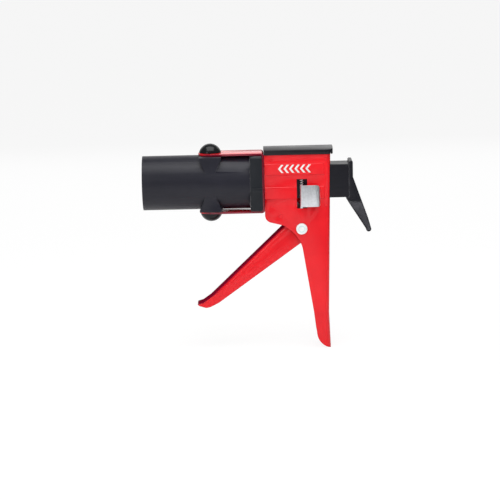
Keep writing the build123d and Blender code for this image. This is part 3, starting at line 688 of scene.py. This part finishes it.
def printed_chevrons():
    """A row of plain chevrons on the near side's upper band, pointing to the muzzle."""
    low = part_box("housing_frame")[0]
    values = {
        "Count": 6, "Pitch": 5.4 * MM, "Height": 8.0 * MM, "Stroke": 2.2 * MM,
        "Film": PRINT_FILM, "Lean": 0.8,
    }
    place = Vector((PRINT_START[0], low[1] - PRINT_FILM / 2, PRINT_START[1]))
    row = grow("printed_chevrons", chevron_tree(), PRINT, values, place)
    settle(row, "frame", "button_white", PRINT)


def handle_screws():
    """Two socket screws that hold the pull handle to the outer ram's end."""
    low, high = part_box("pull_handle_screws")
    finish = FINISH["zinc_fastener"]
    values = {
        "Count": 2, "Drop": high[2] - low[2] - 2 * SCREW_HEAD_R, "Head Radius": SCREW_HEAD_R,
        "Head Height": SCREW_HEAD_H, "Shank Radius": 2.0 * MM,
        "Shank Length": high[0] - low[0] - SCREW_HEAD_H,
        "Socket Radius": 1.7 * MM, "Socket Depth": 1.5 * MM,
    }
    place = Vector((high[0] - SCREW_HEAD_H, 0.0, high[2] - SCREW_HEAD_R))
    screws = grow("pull_handle_socket_screws", socket_screw_tree(), finish, values, place)
    ease_edges(screws, 0.25 * MM, 2, 40.0)
    settle(screws, "ram", "zinc_fastener", finish, "pull_handle_screws")


def finish_plain_nodes():
    """The fastenings and inner parts keep their shape and take their finish."""
    for node, thing in frame["nodes"].items():
        if node in EASED or node in REMADE:
            continue
        thing.data.materials.clear()
        thing.data.materials.append(finish_of(node))


# ---------------------------------------------------------------- stage


def white_stage_material():
    """Pale and matt, and nearly white to the eye whatever the lights above it do."""
    material, t, shader = new_material("pale floor")
    cloud = t.noise(place_of(t), 6.0, 2.0)
    t.feed(shader.inputs["Base Color"], t.mix(cloud, (0.86, 0.86, 0.86, 1), (0.90, 0.90, 0.90, 1)))
    shader.inputs["Roughness"].default_value = 0.8
    glow = t.add("ShaderNodeEmission", {"Color": (1.0, 1.0, 1.0, 1), "Strength": FLOOR_GLOW})
    seen = t.add("ShaderNodeLightPath").outputs["Is Camera Ray"]
    share = t.math("MULTIPLY", seen, FLOOR_SHARE)
    blend = t.add("ShaderNodeMixShader", {0: share, 1: shader.outputs[0], 2: glow.outputs[0]})
    leave = material.node_tree.nodes["Material Output"]
    t.feed(leave.inputs["Surface"], blend.outputs[0])
    return material


def floor():
    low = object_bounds()[0][2]
    corners = [(x * FLOOR_HALF, y * FLOOR_HALF, low) for x, y in ((-1, -1), (1, -1), (1, 1), (-1, 1))]
    mesh = bpy.data.meshes.new("floor")
    mesh.from_pydata(corners, [], [(0, 1, 2, 3)])
    piece = link("floor", mesh)
    mesh.materials.append(white_stage_material())
    piece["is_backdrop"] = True


def area_light(name, place, size, power, mirrored=True):
    """A softbox that faces the gun, never seen by the camera and seen in gloss only if mirrored."""
    data = bpy.data.lights.new(name, "AREA")
    data.energy = power
    data.shape = "RECTANGLE"
    data.size, data.size_y = size
    lamp = bpy.data.objects.new(name, data)
    bpy.context.scene.collection.objects.link(lamp)
    lamp.location = place
    aim = GUN_MIDDLE - Vector(place)
    lamp.rotation_euler = aim.to_track_quat("-Z", "Y").to_euler()
    lamp.visible_camera = False
    lamp.visible_glossy = mirrored


def studio_world():
    """White behind everything that is seen, and a dim grey room in what it lights and reflects."""
    world = bpy.data.worlds.new("studio")
    world.use_nodes = True
    t = Tree(world.node_tree)
    room = world.node_tree.nodes["Background"]
    room.inputs["Color"].default_value = (1.0, 1.0, 1.0, 1)
    room.inputs["Strength"].default_value = ROOM_LIGHT
    backdrop = t.add("ShaderNodeBackground", {"Color": (1.0, 1.0, 1.0, 1), "Strength": 1.0})
    seen = t.add("ShaderNodeLightPath").outputs["Is Camera Ray"]
    blend = t.add("ShaderNodeMixShader", {0: seen, 1: room.outputs[0], 2: backdrop.outputs[0]})
    t.feed(world.node_tree.nodes["World Output"].inputs["Surface"], blend.outputs[0])
    bpy.context.scene.world = world


def lights():
    studio_world()
    area_light("front softbox", (0.10, -1.45, 0.62), (0.9, 0.9), 9.8, mirrored=False)
    area_light("overhead softbox", (0.05, -0.28, 1.00), (1.2, 0.9), 11.0)
    area_light("left softbox", (-0.65, -0.98, 0.46), (0.22, 0.30), 1.3)
    area_light("rear softbox", (0.00, 1.40, 0.58), (2.4, 1.0), 7.0)


def camera():
    """A long lens a little above the gun's near side, tipped by a small roll."""
    up_angle = math.radians(10.0)
    roll = math.radians(-1.3)
    distance = 2.004
    target = Vector((37.5, 0.0, -69.9)) * MM
    away = Vector((0.0, -math.cos(up_angle), math.sin(up_angle)))
    data = bpy.data.cameras.new("camera")
    data.lens = 144.0
    data.sensor_width = 36.0
    data.clip_end = 3 * FLOOR_HALF
    view = bpy.data.objects.new("camera", data)
    bpy.context.scene.collection.objects.link(view)
    level = Matrix.Rotation(math.pi / 2 - up_angle, 4, "X") @ Matrix.Rotation(roll, 4, "Z")
    view.matrix_world = Matrix.Translation(target + away * distance) @ level
    bpy.context.scene.camera = view


build_eased_pieces()
stand_rim_close()
panelled_handle()
handle_screws()
printed_chevrons()
finish_plain_nodes()
lights()
camera()
floor()
bpy.context.scene.view_settings.view_transform = "Standard"
